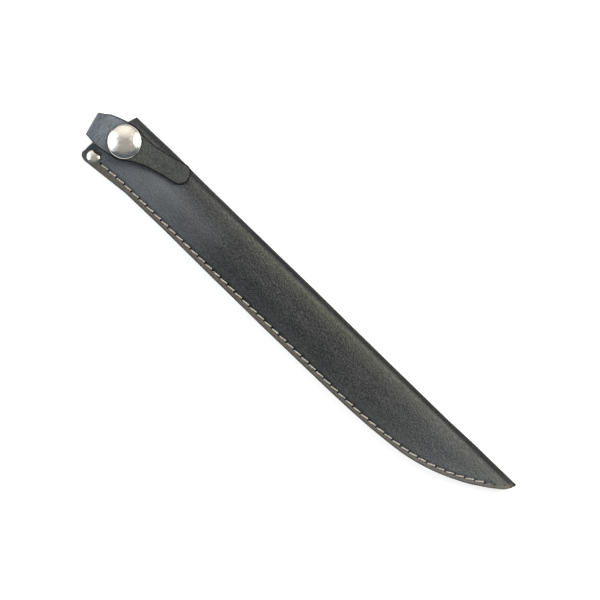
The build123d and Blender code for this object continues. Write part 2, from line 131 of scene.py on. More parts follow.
def edgeCos(x):
    return 1 / np.sqrt(1 + edgeSlope(x) ** 2)


def foldAt(x):
    line = body["fold"] + wander["foldOut"] + wander["tipOut"] * ease(x, wander["tipFrom"], wander["tipTo"])
    for middle, halfLength, height in wander["foldSwells"]:
        line = line + height * np.exp(-((x - middle) / halfLength) ** 2)
    return line


# stitch line, and the needle holes along it
wayX, wayY = np.gradient(curveX), np.gradient(curveY)
wayLength = np.hypot(wayX, wayY)
lineX = np.concatenate([[stitch["start"], stitch["start"] + stitch["flareLength"]],
                        curveX - stitch["margin"] * wayY / wayLength])
lineY = np.concatenate([[stitch["margin"] - body["seam"] - stitch["flare"], stitch["margin"] - body["seam"]],
                        curveY + stitch["margin"] * wayX / wayLength])
lineSlope = (lineY[1] - lineY[0]) / (lineX[1] - lineX[0])
along = np.concatenate([[0], np.cumsum(np.hypot(np.diff(lineX), np.diff(lineY)))])
holeAlong = np.arange(stitch["count"] + 1) * stitch["pitch"]
holes = np.column_stack([np.interp(holeAlong, along, lineX), np.interp(holeAlong, along, lineY)])


def lineAt(x):
    before = np.minimum(x - lineX[0], 0) * lineSlope
    return np.interp(x, lineX, lineY) + before


def ripple(x, y, size, seed):
    rng = np.random.default_rng(seed)
    total = np.zeros_like(x)
    waves = 7
    for _ in range(waves):
        angle, phase = rng.uniform(0, 2 * math.pi, 2)
        wave = 2 * math.pi / (size * rng.uniform(0.6, 1.6))
        total = total + np.sin(wave * (x * math.cos(angle) + y * math.sin(angle)) + phase)
    return total / waves


# a soft hollow or ridge, 1 in its middle
def hump(away, halfWidth):
    return np.exp(-(away / halfWidth) ** 2)


def frontHeight(x, y):
    low = liftAt(x) + body["seamRise"] + body["stack"]
    top = liftAt(x) + 2 * radiusAt(x)
    fromEdge = (y - edgeAt(x)) * edgeCos(x)
    fromLine = (y - lineAt(x)) * edgeCos(x)
    reach = np.maximum(foldAt(x) - radiusAt(x) - lineAt(x), panel["leastReach"])
    share = np.clip((fromLine - panel["rollFrom"]) / np.minimum(reach - panel["rollFrom"], panel["roll"]), 0, 1)
    rise = panel["stepShare"] * ease(fromLine, *panel["step"]) + (1 - panel["stepShare"]) * np.sin(share * math.pi / 2)
    height = low + (top - low) * rise
    height = height + panel["uneven"] * ripple(x, y, panel["unevenSize"], 3) * ease(fromLine, *panel["unevenOver"])
    rivet = np.hypot(x - cornerRivet["x"], y - cornerRivet["y"])
    height = low + (height - low) * ease(rivet, cornerRivet["flatTo"], cornerRivet["risenAt"])
    # stitch groove and its wells
    lastX = holes[-1, 0]
    inLine = ease(x, *stitch["grooveStart"]) * (1 - ease(x, *(lastX + d for d in stitch["grooveEnd"])))
    height = height - stitch["groove"] * hump(fromLine - stitch["grooveShift"], stitch["grooveWidth"]) * inLine
    gap = np.full(x.shape, np.inf)
    for hx, hy in np.vstack([holes, [holes[-1] + stitch["lastWell"]]]):
        gap = np.minimum(gap, np.hypot(x - hx, (y - hy) * stitch["wellSquash"]))
    height = height - stitch["well"] * hump(gap, stitch["wellWidth"])
    # the leather is pressed in round the rivet
    height = height - cornerRivet["dent"] * hump(rivet - cornerRivet["dentAt"], cornerRivet["dentWidth"])
    return height - panel["frontDrop"] * np.clip(1 - fromEdge / panel["edgeRound"], 0, 1) ** 2


def backHeight(x, y):
    fromEdge = (y - edgeAt(x)) * edgeCos(x)
    height = liftAt(x) + body["seamRise"] * (1 - ease(fromEdge, *(body["welt"] + d for d in panel["backStep"])))
    return height + panel["backRise"] * np.clip(1 - fromEdge / panel["edgeRound"], 0, 1) ** 2


# the mouth is cut at a slant and bulges a little, less and less along the body
def slanted(x, y):
    t = (y + body["seam"] + body["flare"]) / (width + body["flare"])
    mouth = -body["lead"] + (body["lag"] + body["lead"]) * t - 4 * body["bulge"] * t * (1 - t)
    return x + mouth * np.clip(1 - x / body["mouthFade"], 0, 1)


# rounding of the mouth corner, a little short of the full radius so that no face is a sliver
def cornerAt(x):
    short = np.clip(body["corner"] - body["cornerShy"] - x, 0, None)
    return body["corner"] - np.sqrt(body["corner"] ** 2 - short ** 2)


def only(obj):
    bpy.ops.object.select_all(action="DESELECT")
    obj.select_set(True)
    bpy.context.view_layer.objects.active = obj


def apply(obj, kind, **settings):
    only(obj)
    mod = obj.modifiers.new(kind.title(), kind)
    for key, value in settings.items():
        setattr(mod, key, value)
    bpy.ops.object.modifier_apply(modifier=mod.name)


def outwards(obj):
    only(obj)
    bpy.ops.object.mode_set(mode="EDIT")
    bpy.ops.mesh.select_all(action="SELECT")
    bpy.ops.mesh.normals_make_consistent(inside=False)
    bpy.ops.mesh.select_all(action="DESELECT")
    bpy.ops.object.mode_set(mode="OBJECT")


def vertexPlaces(obj):
    co = np.empty(len(obj.data.vertices) * 3, np.float32)
    obj.data.vertices.foreach_get("co", co)
    return co.reshape(-1, 3)


# a grid laid out by place(u, v), which gives millimetres
def mappedGrid(name, countU, countV, place):
    bpy.ops.mesh.primitive_grid_add(x_subdivisions=countU, y_subdivisions=countV, size=2)
    obj = bpy.context.object
    obj.name = obj.data.name = name
    u, v = ((vertexPlaces(obj)[:, i] + 1) / 2 for i in range(2))
    x, y, z = place(u.astype(float), v.astype(float))
    obj.data.vertices.foreach_set("co", (np.column_stack([x, y, z]) * mm).astype(np.float32).ravel())
    obj.data.update()
    obj.data.shade_smooth()
    return obj


def loopVertices(mesh):
    verts = np.empty(len(mesh.loops), np.int32)
    mesh.loops.foreach_get("vertex_index", verts)
    return verts


def writeMap(obj, mapU, mapV):
    pairs = np.column_stack([mapU, mapV])[loopVertices(obj.data)]
    obj.data.uv_layers.active.data.foreach_set("uv", pairs.astype(np.float32).ravel())


# share of its full thickness that the leather keeps at each vertex
def pare(obj, shares):
    group = obj.vertex_groups.new(name="leather")
    for i, share in enumerate(shares):
        group.add([i], float(share), "REPLACE")


# folded leather of the body: one sheet from the back edge round the fold to the front edge
sheet = {
    "along": 470, "across": 100, "alongShares": [0, 0.06, 0.9, 1], "alongAt": [0, 6, 214, 233.85],
    "backShare": 0.32, "foldShare": 0.18, "frontCrowd": 0.3, "clear": 0.02,
    "pared": 0.7, "paredFrom": 225, "paredTo": 233,
}


def sheathPlace(u, v):
    x = np.interp(u, sheet["alongShares"], sheet["alongAt"])
    edge = edgeAt(x) + cornerAt(x)
    radius = radiusAt(x)
    centre = foldAt(x) - radius
    start = np.maximum(centre, edge)
    foldFrom, foldTo = sheet["backShare"], sheet["backShare"] + sheet["foldShare"]
    back = np.clip(v / foldFrom, 0, 1)
    turn = np.clip((v - foldFrom) / sheet["foldShare"], 0, 1)
    front = np.clip((v - foldTo) / (1 - foldTo), 0, 1)
    front = front + sheet["frontCrowd"] * front * (1 - front)
    bent = np.maximum(centre + radius * np.sin(turn * math.pi), edge)
    y = np.where(v < foldFrom, edge + (start - edge) * back,
                 np.where(v < foldTo, bent, start + (edge - start) * front))
    place = slanted(x, y)
    dome = np.sqrt(np.clip(radius ** 2 - np.clip(y - centre, 0, radius) ** 2, 0, None))
    zBack = np.where(y > centre, liftAt(place) + radius - dome, backHeight(place, y))
    zFront = frontHeight(place, np.minimum(y, centre)) - (radius - dome)
    z = np.where(v < foldFrom + sheet["foldShare"] / 2, zBack, zFront)
    return place, y, np.maximum(z, sheet["clear"])


sheath = mappedGrid("sheathLeather", sheet["along"], sheet["across"], sheathPlace)
# the map runs along the seam in stitches, and across it in millimetres from the cut edge
co = vertexPlaces(sheath) / mm
slope = np.arctan(edgeSlope(co[:, 0]))
across = (co[:, 1] - lineAt(co[:, 0])) * np.cos(slope) + stitch["margin"]
foot = co[:, 0] + (across - stitch["margin"]) * np.sin(slope)
stitchAt = (np.interp(foot, lineX, along) + np.minimum(foot - lineX[0], 0)) / stitch["pitch"]
writeMap(sheath, stitchAt, across)
outwards(sheath)
frontFaces = [p.normal.z for p in sheath.data.polygons if p.center.z > 0.008]
if sum(frontFaces) < 0:
    sheath.data.flip_normals()
# the leather is pared thin at the tip, where the inside has no room for it
pare(sheath, 1 - sheet["pared"] * ease(co[:, 0], sheet["paredFrom"], sheet["paredTo"]))
apply(sheath, "SOLIDIFY", thickness=body["leather"] * mm, offset=-1, vertex_group="leather")
for v in sheath.data.vertices:
    v.co.z = max(v.co.z, sheet["clear"] * mm)
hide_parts("sheath_leather")
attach(sheath, "sheath")
print("sheath leather", len(sheath.data.polygons))

# welt between the panels
welt = {
    "along": 320, "around": 24, "alongShares": [0, 0.05, 1], "alongAt": [0.3, 4, 231.5],
    "inset": 0.25, "gap": 0.05, "foldGap": 2, "least": 0.05, "square": 0.8,
}


def weltPlace(u, v):
    x = np.interp(u, welt["alongShares"], welt["alongAt"])
    edge = edgeAt(x) + cornerAt(x)
    space = np.clip((body["fold"] - welt["foldGap"] - edge) / 2, welt["least"], None)
    halfWidth = np.minimum(body["welt"] / 2 / edgeCos(x), space)
    c, sn = np.cos(v * 2 * math.pi), np.sin(v * 2 * math.pi)
    square = np.maximum(np.abs(c), np.abs(sn)) ** welt["square"]
    y = edge + welt["inset"] + halfWidth + halfWidth * c / square
    halfHeight = (body["stack"] - 2 * body["leather"]) / 2 - welt["gap"]
    z = liftAt(x) + body["seamRise"] + body["stack"] / 2 + halfHeight * np.clip(sn / square, -1, 1)
    return slanted(x, y), y, z


weltStrip = mappedGrid("weltStrip", welt["along"], welt["around"], weltPlace)
only(weltStrip)
bpy.ops.object.mode_set(mode="EDIT")
bpy.ops.mesh.select_all(action="SELECT")
bpy.ops.mesh.remove_doubles(threshold=0.000005)
bpy.ops.mesh.select_all(action="DESELECT")
bpy.ops.mesh.select_non_manifold()
bpy.ops.mesh.fill_holes(sides=0)
bpy.ops.object.mode_set(mode="OBJECT")
outwards(weltStrip)
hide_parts("welt_strip")
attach(weltStrip, "sheath")
print("welt", len(weltStrip.data.polygons))


# threads: rows of twisted stitches, on the front (side 1) and on the back (side -1)
def threadRow(name, node, side, dip):
    rings, around = stitch["rings"], stitch["around"]
    verts, faces = [], []
    slant = math.radians(stitch["slant"])
    for i in range(stitch["count"]):
        (ax, ay), (bx, by) = holes[i], holes[i + 1]
        way = math.atan2(by - ay, bx - ax) + slant
        cx, cy = (ax + bx) / 2, (ay + by) / 2
        base = len(verts)
        for ring in range(rings):
            t = -1 + 2 * ring / (rings - 1)
            reach = t * stitch["length"] / 2
            x, y = cx + reach * math.cos(way), cy + reach * math.sin(way)
            seamFace = liftAt(x) + body["seamRise"] + (body["stack"] if side > 0 else 0)
            level = seamFace + side * (stitch["crown"] - dip * abs(t) ** 5)
            narrow = 1 - stitch["narrow"] * abs(t) ** 6
            for k in range(around):
                a = 2 * math.pi * k / around
                size = narrow * (1 + stitch["strandDepth"] * math.cos(stitch["strands"] * a + stitch["twist"] * reach))
                wide = stitch["halfWidth"] * size * math.cos(a)
                up = stitch["halfHeight"] * size * math.sin(a)
                verts.append(((x - wide * math.sin(way)) * mm, (y + wide * math.cos(way)) * mm, (level + up) * mm))
        for ring in range(rings - 1):
            for k in range(around):
                p, q = base + ring * around + k, base + ring * around + (k + 1) % around
                faces.append((p, q, q + around, p + around))
        faces.append(tuple(base + k for k in range(around))[::-1])
        faces.append(tuple(base + (rings - 1) * around + k for k in range(around)))
    mesh = bpy.data.meshes.new(name)
    mesh.from_pydata(verts, [], faces)
    obj = bpy.data.objects.new(name, mesh)
    scene.collection.objects.link(obj)
    mesh.shade_smooth()
    outwards(obj)
    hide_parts(node)
    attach(obj, "sheath")
    return obj


needleThread = threadRow("needleThread", "needle_thread", 1, stitch["dip"])
bobbinThread = threadRow("bobbinThread", "bobbin_thread", -1, stitch["backDip"])
print("threads", len(needleThread.data.polygons))

# strap: measured from the middle of the snap, along and across
strap = {
    "x": 6.5, "y": 2.0, "angle": 14.5, "leather": 1.8, "bendReach": 15.6, "creaseReach": 10.1, "radius": 5.5,
    "frontLevel": 17.05, "flatFrom": -8.6, "dropFrom": 6.4, "dropLength": 14.6, "tabLevel": 13.1, "tabRise": 0.05,
    "rearLevel": 1.95, "rearReach": 22.5, "rearCorner": 3, "split": 10.1,
    "roundFrom": 28.2, "roundReach": 4.4, "edgeRound": 0.55, "edgeLeast": 0.25,
    "widthAt": [-30, -15.6, -14.9, -13, -10.9, -8, -4, 0, 3.15, 5.5, 7.6, 9.8, 13, 19.7, 28.8, 40],
    "halfWidth": [5.7, 5.7, 5.85, 6.55, 7.5, 7.95, 8.3, 8.4, 7.79, 6.85, 5.95, 5.4, 4.95, 4.65, 4.8, 4.8],
    "rearWidthAt": [-15.6, -10], "rearHalfWidth": [5.7, 5.6],
    "frontFlex": [(-12.8, 16.2), (-7.6, 17.6)], "rearFlex": [(-15.6, 6.9), (-15.6, 10.1)],
    "frontRows": 190, "rearRows": 150, "columns": 48, "frontShares": [0, 0.85, 1], "frontAt": [0, 0.92, 1],
    "mapLength": 40,
}
# creases between the strap's fold and the cap, the ring pressed in under the cap's rim, and the tab's lifted end
strapWear = {
    "crease": 0.13, "creaseApart": 1.1, "creaseWave": 0.5, "creaseWaves": 0.9, "creaseLean": 0.2, "creaseLeast": 0.6,
    "swell": 0.10, "creaseStart": (-15, -12), "creaseEnd": (-8.6, -7),
    "rimDent": 0.22, "rimAt": 7.2, "rimWidth": 0.8, "rimFrom": (-8.5, -7),
    "tabRipple": 0.08, "tabRippleFrom": (7, 10), "sideDrop": 0.10, "tabLift": 0.45, "tabLiftOver": (18, 32),
}
cosA, sinA = math.cos(math.radians(strap["angle"])), math.sin(math.radians(strap["angle"]))


def strapSpot(u, w, z):
    return strap["x"] + u * cosA - w * sinA, strap["y"] + u * sinA + w * cosA, z


def arcPoints(cu, cz, radius, start, end, count=24):
    a = np.radians(np.linspace(start, end, count))
    return np.column_stack([cu + radius * np.cos(a), cz + radius * np.sin(a)])


# place, normal and length along a path, at a share of its length
def alongPath(points, share, step=0.3):
    length = np.concatenate([[0], np.cumsum(np.hypot(*np.diff(points, axis=0).T))])
    at = share * length[-1]
    pu, pz = (np.interp(at, length, points[:, i]) for i in range(2))
    du, dz = (np.interp(at + step, length, points[:, i]) - np.interp(at - step, length, points[:, i]) for i in range(2))
    size = np.hypot(du, dz)
    return pu, pz, -dz / size, du / size, at


# across the strap from -1 to 1, with its rows of points closer together at the sides
def closerAtSides(v):
    t = 2 * v - 1
    return t * (1.25 - 0.25 * t * t)


drop = np.linspace(0, 1, 30)
frontPath = np.vstack([
    [[-strap["bendReach"], strap["split"]]],
    arcPoints(-strap["creaseReach"], strap["frontLevel"] - strap["radius"], strap["radius"], 180, 90),
    [[strap["flatFrom"], strap["frontLevel"]]],
    np.column_stack([strap["dropFrom"] + strap["dropLength"] * drop,
                     strap["frontLevel"] + (strap["tabLevel"] - strap["frontLevel"]) * ease(drop, 0, 1)]),
    [[strap["roundFrom"] + strap["roundReach"], strap["tabLevel"] + strap["tabRise"]]],
])
rearPath = np.vstack([
    [[strap["rearReach"], strap["rearLevel"]], [-strap["creaseReach"] + 2, strap["rearLevel"]]],
    arcPoints(-strap["creaseReach"], strap["rearLevel"] + strap["radius"], strap["radius"], 270, 180),
    [[-strap["bendReach"], strap["split"]]],
])


def frontPlace(u, v):
    pu, pz, nu, nz, at = alongPath(frontPath, np.interp(u, strap["frontShares"], strap["frontAt"]))
    half = np.interp(pu, strap["widthAt"], strap["halfWidth"])
    across = closerAtSides(v)
    side = np.abs(across)
    # the grid's square end drawn round
    tip = np.clip((pu - strap["roundFrom"]) / strap["roundReach"], 0, 1)
    pu = np.where(tip > 0, strap["roundFrom"] + strap["roundReach"] * tip * np.sqrt(1 - side ** 2 / 2), pu)
    w = across * half * np.sqrt(1 - tip ** 2 / 2)
    wrinkled = ease(pu, *strapWear["creaseStart"]) * (1 - ease(pu, *strapWear["creaseEnd"])) * (1 - side ** 4)
    wavy = at + strapWear["creaseWave"] * np.sin(w * strapWear["creaseWaves"]) + strapWear["creaseLean"] * w
    creases = np.sin(2 * math.pi * wavy / strapWear["creaseApart"])
    out = strapWear["crease"] * wrinkled * creases * (strapWear["creaseLeast"] + ripple(at, w, 4, 4))
    out = out + strapWear["swell"] * wrinkled * ripple(at, w, 6, 12)
    pz = pz + strapWear["tabLift"] * ease(pu, *strapWear["tabLiftOver"])
    rim = hump(np.hypot(pu, w) - strapWear["rimAt"], strapWear["rimWidth"]) * ease(pu, *strapWear["rimFrom"])
    out = out - strapWear["rimDent"] * rim
    out = out + strapWear["tabRipple"] * ripple(pu, w, 14, 9) * ease(pu, *strapWear["tabRippleFrom"])
    out = out - strapWear["sideDrop"] * side ** 6
    return strapSpot(pu + nu * out, w, pz + nz * out)


def rearPlace(u, v):
    pu, pz = alongPath(rearPath, u)[:2]
    corner = strap["rearCorner"]
    end = np.clip(pu - (strap["rearReach"] - corner), 0, corner)
    half = np.interp(pu, strap["rearWidthAt"], strap["rearHalfWidth"])
    half = half - corner + np.sqrt(np.clip(corner ** 2 - end ** 2, 0, None))
    return strapSpot(pu, closerAtSides(v) * half, pz)


# the strap's map holds millimetres from its nearest cut edge, where the leather thins to a round edge
def markEdges(obj, cutEnd):
    mesh = obj.data
    verts = loopVertices(mesh)
    uv = np.empty(len(mesh.loops) * 2, np.float32)
    mesh.uv_layers.active.data.foreach_get("uv", uv)
    uv = uv.reshape(-1, 2)
    rim = np.unique(verts[(np.abs(uv[:, 1] - 0.5) > 0.4999) | (np.abs(uv[:, 0] - cutEnd) < 0.0001)])
    near = KDTree(len(rim))
    for i in rim:
        near.insert(mesh.vertices[int(i)].co, int(i))
    near.balance()
    away = np.array([near.find(v.co)[2] / mm for v in mesh.vertices])
    alongShare = np.empty(len(mesh.vertices), np.float32)
    alongShare[verts] = uv[:, 0]
    writeMap(obj, alongShare * strap["mapLength"], away)
    inward = np.clip(away / strap["edgeRound"], 0, 1)
    pare(obj, strap["edgeLeast"] + (1 - strap["edgeLeast"]) * np.sqrt(1 - (1 - inward) ** 2))


def strapPiece(name, place, rows, node, cutEnd):
    obj = mappedGrid(name, rows, strap["columns"], place)
    markEdges(obj, cutEnd)
    outwards(obj)
    apply(obj, "SOLIDIFY", thickness=strap["leather"] * mm, offset=0, vertex_group="leather")
    outwards(obj)
    obj.data.shade_smooth()
    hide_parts(*node)
    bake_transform(obj)
    return obj


strapFront = strapPiece("strapFront", frontPlace, strap["frontRows"], ["strap_front_leaf", "strap_bend"],
                        1)
strapRear = strapPiece("strapRear", rearPlace, strap["rearRows"], ["strap_rear_leaf"],
                       0)
print("strap", len(strapFront.data.polygons), len(strapRear.data.polygons))


# metal domes turned from a profile
def turned(name, node, bodyName, x, y, profile):
    mesh = bpy.data.meshes.new(name)
    mesh.from_pydata([(r * mm, 0, z * mm) for r, z in profile], [(i, i + 1) for i in range(len(profile) - 1)], [])
    obj = bpy.data.objects.new(name, mesh)
    scene.collection.objects.link(obj)
    only(obj)
    bpy.ops.object.mode_set(mode="EDIT")
    bpy.ops.mesh.select_all(action="SELECT")
    bpy.ops.mesh.spin(steps=96, angle=2 * math.pi, center=(0, 0, 0), axis=(0, 0, 1))
    bpy.ops.mesh.select_all(action="SELECT")
    bpy.ops.mesh.remove_doubles(threshold=0.00001)
    bpy.ops.mesh.select_all(action="DESELECT")
    bpy.ops.object.mode_set(mode="OBJECT")
    outwards(obj)
    obj.data.transform(Matrix.Translation((x * mm, y * mm, 0)))
    obj.data.shade_smooth()
    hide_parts(node)
    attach(obj, bodyName)
    return obj


snapDome = {"radius": 7.5, "base": 18.0, "edge": 0.7, "height": 2.3, "curl": 1.4}
rivetDome = {"radius": 3.1, "base": 9.65, "edge": 0.35, "height": 1.0, "curl": 0.6}


# crown, rolled rim and flat underside
def domeProfile(radius, base, edge, height, curl, crownEnd=0.25, roll=0.28, crownSteps=24, rimSteps=8):
    crown = height - edge
    bigRadius = (radius ** 2 + crown ** 2) / (2 * crown)
    points = []
    for i in range(crownSteps + 1):
        r = (radius - crownEnd) * i / crownSteps
        points.append((r, base + height - bigRadius + math.sqrt(bigRadius ** 2 - r * r)))
    for i in range(1, rimSteps + 1):
        a = math.radians(90 - i * 180 / rimSteps)
        points.append((radius - roll + roll * math.cos(a), base + edge / 2 + edge / 2 * math.sin(a)))
    return points + [(radius - curl, base), (0, base + 0.02)]


snapCap = turned("snapCap", "snap_cap", "strap_flap", strap["x"], strap["y"], domeProfile(**snapDome))
cornerCap = turned("cornerRivet", "corner_rivet_cap", "sheath", cornerRivet["x"], cornerRivet["y"],
                   domeProfile(**rivetDome))
print("domes")


# material building: each returns the socket that it makes
def newMaterial(name):
    mat = bpy.data.materials.new(name)
    mat.use_nodes = True
    return mat, mat.node_tree, mat.node_tree.nodes["Principled BSDF"]


def link(tree, a, b):
    tree.links.new(a, b)


def noise(tree, coords, scale, detail):
    node = tree.nodes.new("ShaderNodeTexNoise")
    node.inputs["Scale"].default_value = scale
    node.inputs["Detail"].default_value = detail
    node.inputs["Roughness"].default_value = 0.55
    link(tree, coords, node.inputs["Vector"])
    return node.outputs["Fac"]


def spread(tree, value, low, high, outLow, outHigh):
    node = tree.nodes.new("ShaderNodeMapRange")
    for key, number in (("From Min", low), ("From Max", high), ("To Min", outLow), ("To Max", outHigh)):
        node.inputs[key].default_value = number
    link(tree, value, node.inputs["Value"])
    return node.outputs["Result"]


# two colours, each a socket or three numbers
def mix(tree, share, a, b, kind="MIX"):
    node = tree.nodes.new("ShaderNodeMix")
    node.data_type = "RGBA"
    node.blend_type = kind
    link(tree, share, node.inputs[0])
    for socket, value in ((node.inputs[6], a), (node.inputs[7], b)):
        if isinstance(value, tuple):
            socket.default_value = (*value, 1)
        else:
            link(tree, value, socket)
    return node.outputs[2]


def calc(tree, kind, *values):
    node = tree.nodes.new("ShaderNodeMath")
    node.operation = kind
    for socket, value in zip(node.inputs, values):
        if isinstance(value, (int, float)):
            socket.default_value = value
        else:
            link(tree, value, socket)
    return node.outputs[0]


def times(tree, first, *others):
    for other in others:
        first = calc(tree, "MULTIPLY", first, other)
    return first


def parted(tree, vector):
    node = tree.nodes.new("ShaderNodeSeparateXYZ")
    link(tree, vector, node.inputs[0])
    return node.outputs


def bump(tree, height, strength, distance, under=None):
    node = tree.nodes.new("ShaderNodeBump")
    node.inputs["Strength"].default_value = strength
    node.inputs["Distance"].default_value = distance
    link(tree, height, node.inputs["Height"])
    if under:
        link(tree, under, node.inputs["Normal"])
    return node.outputs["Normal"]


# painted sheen: a bluish-grey highlight added into the colour, patchy with the wide noise
def addSheen(tree, color, wide, share, look):
    return mix(tree, times(tree, share, spread(tree, wide, 0.2, 0.8, 0.7, 1.2)), color, look["sheenTint"], "ADD")


# body leather colours, with painted sheen near the mouth, on the margin, on the fold's shoulder, beside the seam and at
# the tip, and painted shade for the stitch wells
bodyLook = {
    "dark": (0.011, 0.012, 0.014), "light": (0.020, 0.021, 0.023), "rough": (0.38, 0.52), "grain": 0.45,
    "sheenTint": (0.062, 0.067, 0.077), "sheenFrom": 0.074, "sheenTo": 0.030, "foldSheen": 0.15, "foldSheenAt": 0.0065,
    "margin": (0.068, 0.063, 0.055), "marginSheenOver": (1.55, 2.0), "well": (0.002, 0.002, 0.002), "wellShadeOver": (0.4, 0.75),
    "sewnRough": 0.22, "crease": (0.0106, 0.0121), "creaseRough": 0.15,
    "shoulderSheen": (0.026, 0.026, 0.018), "shoulderSheenOver": (0.004, 0.0095), "shoulderSheenFrom": (0.040, 0.085),
    "seamSideLight": (0.016, 0.017, 0.017), "seamSideLightOver": (2.4, 8.5), "seamSideLightFrom": (0.045, 0.075),
    "tipSheen": (0.022, 0.024, 0.027), "tipSheenFrom": (0.160, 0.200),
}


# painted sheen near the mouth, on the margin outside the stitches, along the fold's shoulder, beside the seam and
# towards the tip, and painted shade in the wells at the needle holes
def bodyMarks(tree, texture, wide, color, rough, look):
    x, y, _ = parted(tree, texture.outputs["Object"])
    stitchAt, fromEdge, _ = parted(tree, texture.outputs["UV"])
    # painted sheen: the bluish-grey highlight near the mouth, fading across the body towards the fold
    sheenShare = times(tree, spread(tree, x, look["sheenFrom"], look["sheenTo"], 0, 1),
                 spread(tree, y, 0, look["foldSheenAt"], 1, look["foldSheen"]))
    color = addSheen(tree, color, wide, sheenShare, look)
    # painted shade: the colour darkens to near black in a round well at each needle hole
    near = times(tree, calc(tree, "PINGPONG", stitchAt, 0.5), stitch["pitch"])
    side = calc(tree, "SUBTRACT", fromEdge, stitch["margin"])
    gap = calc(tree, "SQRT", calc(tree, "ADD", times(tree, near, near), times(tree, side, side)))
    well = times(tree, spread(tree, gap, *look["wellShadeOver"], 1, 0), calc(tree, "GREATER_THAN", stitchAt, -0.3))
    # painted sheen: a lighter brownish band on the flat margin between the cut edge and the stitches
    margin = spread(tree, fromEdge, *look["marginSheenOver"], 1, 0)
    sewn = calc(tree, "MAXIMUM", margin, well)
    crease = spread(tree, y, *look["crease"], 0, 1)
    flat = calc(tree, "SUBTRACT", 1, crease)
    color = mix(tree, margin, color, look["margin"])
    color = mix(tree, well, color, look["well"])
    # painted sheen: an olive highlight added along the fold's shoulder
    shoulderSheen = times(tree, spread(tree, y, *look["shoulderSheenOver"], 0, 1), flat,
                     spread(tree, x, *look["shoulderSheenFrom"], 0.1, 1))
    color = mix(tree, shoulderSheen, color, look["shoulderSheen"], "ADD")
    # painted light: a lighter band beside the stitches, on the slope that falls into shade
    seamSideLight = times(tree, spread(tree, fromEdge, *look["seamSideLightOver"], 1, 0),
                       spread(tree, x, *look["seamSideLightFrom"], 0, 1), spread(tree, sewn, 0, 0.2, 1, 0))
    color = mix(tree, seamSideLight, color, look["seamSideLight"], "ADD")
    # painted sheen: the colour grows lighter towards the tip
    tipSheen = times(tree, spread(tree, x, *look["tipSheenFrom"], 0, 1), flat)
    color = mix(tree, tipSheen, color, look["tipSheen"], "ADD")
    rough = calc(tree, "ADD", rough, times(tree, sewn, look["sewnRough"]))
    rough = calc(tree, "ADD", rough, times(tree, crease, look["creaseRough"]))
    return color, rough, spread(tree, calc(tree, "MAXIMUM", well, crease), 0, 1, 1, 0.3)


# strap leather colours, with a painted sheen on the fold and a black cut edge that also paints its shadow line
strapLook = {
    "dark": (0.022, 0.026, 0.025), "light": (0.036, 0.038, 0.036), "rough": (0.38, 0.52), "grain": 0.45,
    "sheenTint": (0.096, 0.108, 0.130), "sheenFrom": 0.008, "sheenTo": -0.003,
    "streaks": (0.48, 1.52), "streakScale": (1300, 330, 330),
    "edgeDyeAndShadow": (0.003, 0.003, 0.003), "edgeDyeAndShadowOver": (0.25, 0.85),
}


# painted sheen on the strap's fold, in fine streaks across the strap, and a black cut edge that also paints the shadow
# line along it
def strapMarks(tree, texture, wide, color, rough, look):
    x, _, _ = parted(tree, texture.outputs["Object"])
    turn = tree.nodes.new("ShaderNodeMapping")
    turn.inputs["Rotation"].default_value = (0, 0, math.radians(-strap["angle"]))
    turn.inputs["Scale"].default_value = look["streakScale"]
    link(tree, texture.outputs["Object"], turn.inputs["Vector"])
    # painted sheen on the strap's fold, broken into fine streaks across the strap
    streaks = spread(tree, noise(tree, turn.outputs["Vector"], 1, 3), 0.3, 0.7, *look["streaks"])
    sheenShare = times(tree, spread(tree, x, look["sheenFrom"], look["sheenTo"], 0, 1), streaks)
    color = addSheen(tree, color, wide, sheenShare, look)
    _, fromEdge, _ = parted(tree, texture.outputs["UV"])
    # the cut edge's own black dye, carried up to 0.85 mm onto the top as a painted shadow line along the edge
    inside = spread(tree, fromEdge, *look["edgeDyeAndShadowOver"], 0, 1)
    return mix(tree, inside, look["edgeDyeAndShadow"], color), rough, spread(tree, inside, 0, 1, 0.12, 1)


weltLook = {"dark": (0.010, 0.009, 0.009), "light": (0.028, 0.024, 0.021), "rough": (0.6, 0.8), "grain": 1.0}
# scales of the leather's surface, and its depths in metres
grain = {
    "cells": 1150, "poreEdge": 0.22, "poreDepth": 0.00012, "fine": 1100, "fineDepth": 0.0009,
    "puckers": 240, "pucker": 0.35, "puckerDepth": 0.0006, "patches": 55, "rubs": 150,
}


